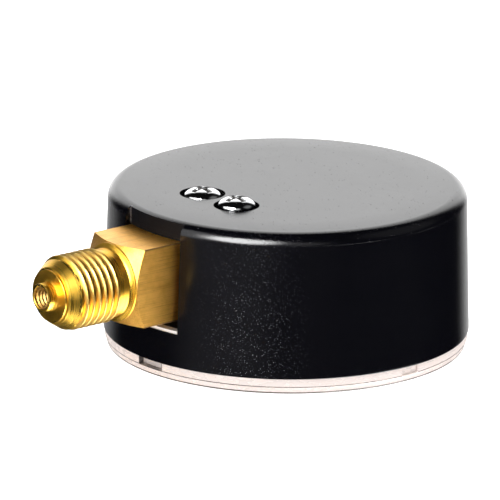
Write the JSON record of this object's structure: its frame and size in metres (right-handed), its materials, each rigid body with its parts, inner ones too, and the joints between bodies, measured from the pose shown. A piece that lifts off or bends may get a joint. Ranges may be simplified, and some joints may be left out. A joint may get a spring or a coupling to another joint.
{
  "type": "pressure gauge",
  "caption": "Round dial pressure gauge with a bottom-entry brass process connection, Bourdon tube, geared movement and snap-in clear window.",
  "frame": {"origin": "centre of the window's front face, which the gauge lies on", "axes": "+Z from the window to the back of the case, -Y along the process connection out of the case, so seen from the front -X is 3 o'clock"},
  "size_m": [0.0644, 0.0869, 0.0299],
  "materials": {
    "case": "black ABS, fine moulded grain",
    "window": "clear moulded plastic with a faint warm tint",
    "bright_screws": "bright plated pan heads",
    "socket_brass": "bare brass, drawn flats and turned thread",
    "tube_bronze": "phosphor bronze, drawn, dulled by soldering",
    "movement_brass": "stamped brass",
    "steel_parts": "ground steel",
    "spring_bronze": "rolled bronze strip",
    "dial_white": "white enamelled dial plate with black print",
    "pointer_black": "black lacquered aluminium"
  },
  "bodies": {
    "case_body": {"case": "case", "window": "window", "case_screws": "bright_screws", "socket": "socket_brass", "bourdon_tube": "tube_bronze", "hairspring": "spring_bronze", "hairspring_stud": "movement_brass", "movement_back_plate": "movement_brass", "movement_front_plate": "movement_brass", "movement_pillars": "movement_brass", "plate_screws": "steel_parts", "movement_screws": "steel_parts", "dial": "dial_white", "dial_spacers": "movement_brass", "dial_screws": "steel_parts", "stop_pin": "movement_brass"},
    "pointer_shaft": {"pointer": "pointer_black", "pointer_hub": "movement_brass", "pinion_shaft": "steel_parts", "hairspring_collet": "movement_brass"},
    "sector": {"sector_gear": "movement_brass", "sector_arbor": "steel_parts", "tail_pin": "steel_parts"},
    "tube_tip": {"tube_tip": "movement_brass", "tip_pin": "steel_parts"},
    "link": {"link": "movement_brass"}
  },
  "joints": [
    {"name": "pointer_turn", "type": "hinge", "parent": "case_body", "child": "pointer_shaft", "pos_m": [0, 0, 0.0161], "axis": [0, 0, 1], "range_deg": [0, 270], "stiffness_Nm_per_rad": 0.0004, "deforming": ["hairspring"]},
    {"name": "sector_turn", "type": "hinge", "parent": "case_body", "child": "sector", "pos_m": [-0.01033, -0.00596, 0.0175], "axis": [0, 0, -1], "range_deg": [0, 36]},
    {"name": "tube_tip_move", "type": "hinge", "parent": "case_body", "child": "tube_tip", "pos_m": [0.00586, 0.00475, 0.018], "axis": [0, 0, -1], "range_deg": [0, 7.73], "deforming": ["bourdon_tube"]},
    {"name": "link_swing", "type": "hinge", "parent": "tube_tip", "child": "link", "pos_m": [-0.01617, 0.00373, 0.01865], "axis": [0, 0, 1], "range_deg": [0, 7.4]}
  ],
  "couplings": [
    {"joint": "sector_turn", "follows": "pointer_turn", "ratio": 0.13333},
    {"joint": "tube_tip_move", "follows": "pointer_turn", "ratio": 0.028637},
    {"joint": "link_swing", "follows": "pointer_turn", "ratio": 0.027419}
  ]
}
